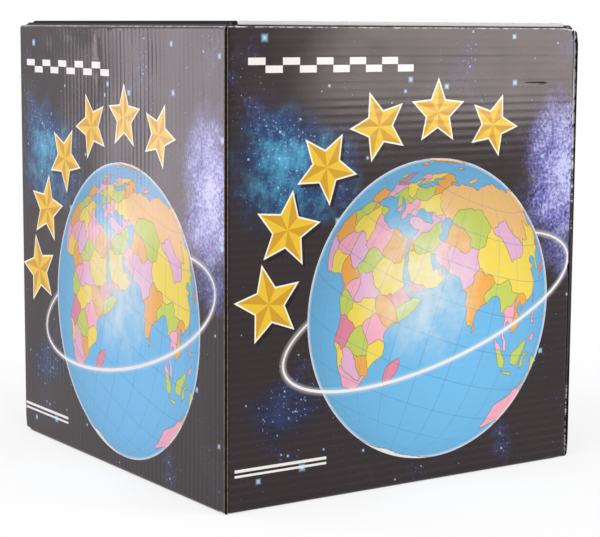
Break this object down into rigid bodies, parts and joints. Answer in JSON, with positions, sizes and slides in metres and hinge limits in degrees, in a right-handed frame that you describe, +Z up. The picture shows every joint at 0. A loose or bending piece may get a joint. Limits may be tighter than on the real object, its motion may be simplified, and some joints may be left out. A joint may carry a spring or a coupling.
{
  "type": "boxed desktop globe",
  "caption": "Tuck-top corrugated carton with a printed globe picture, holding a desktop globe that turns on its tilted stand; the lid, its tuck flap and its ears fold.",
  "frame": {"origin": "centre of the carton's underside", "axes": "+Z up, -Y out of the front wall, which the tuck flap closes; +X to the right seen from the front"},
  "size_m": [0.305, 0.305, 0.3251],
  "materials": {
    "printed_board": "gloss",
    "plain_board": "matte",
    "ball_plastic": "gloss",
    "stand_plastic": "satin",
    "plain_plastic": "matte",
    "steel": "satin",
    "brass_trim": "polished",
    "rubber": "matte"
  },
  "bodies": {
    "carton": {"front_wall": "printed_board", "back_wall": "printed_board", "left_outer_wall": "printed_board", "right_outer_wall": "printed_board", "left_top_strip": "printed_board", "right_top_strip": "printed_board", "bottom_panel": "printed_board", "left_inner_wall": "plain_board", "right_inner_wall": "plain_board", "front_left_tab": "plain_board", "front_right_tab": "plain_board", "back_left_tab": "plain_board", "back_right_tab": "plain_board", "insert_platform": "plain_board", "insert_left_leg": "plain_board", "insert_right_leg": "plain_board", "meridian_arm": "stand_plastic", "base_shell": "stand_plastic", "base_cover": "stand_plastic", "north_pivot_pin": "steel", "south_pivot_pin": "steel", "ballast_ring": "steel", "post_screw": "steel", "base_screw_1": "steel", "base_screw_2": "steel", "base_screw_3": "steel", "north_washer": "plain_plastic", "south_washer": "plain_plastic", "north_knob": "brass_trim", "south_knob": "brass_trim", "foot_1": "rubber", "foot_2": "rubber", "foot_3": "rubber", "foot_4": "rubber"},
    "lid": {"lid_panel": "printed_board"},
    "tuck": {"tuck_flap": "plain_board"},
    "left_ear": {"left_lid_ear": "plain_board"},
    "right_ear": {"right_lid_ear": "plain_board"},
    "ball": {"north_half_shell": "ball_plastic", "south_half_shell": "ball_plastic", "equator_band": "plain_plastic", "joint_ring": "plain_plastic", "north_bush": "plain_plastic", "south_bush": "plain_plastic"}
  },
  "joints": [
    {"name": "lid_hinge", "type": "hinge", "parent": "carton", "child": "lid", "pos_m": [0, 0.153, 0.32215], "axis": [-1, 0, 0], "range_deg": [0, 200]},
    {"name": "tuck_fold", "type": "hinge", "parent": "lid", "child": "tuck", "pos_m": [0, -0.14602, 0.32185], "axis": [1, 0, 0], "range_deg": [0, 80]},
    {"name": "left_ear_fold", "type": "hinge", "parent": "lid", "child": "left_ear", "pos_m": [-0.1397, 0, 0.32185], "axis": [0, -1, 0], "range_deg": [0, 80]},
    {"name": "right_ear_fold", "type": "hinge", "parent": "lid", "child": "right_ear", "pos_m": [0.1397, 0, 0.32185], "axis": [0, 1, 0], "range_deg": [0, 80]},
    {"name": "globe_spin", "type": "hinge", "parent": "carton", "child": "ball", "pos_m": [0, 0, 0.197], "axis": [0.3987, 0, 0.9171], "continuous": true}
  ]
}
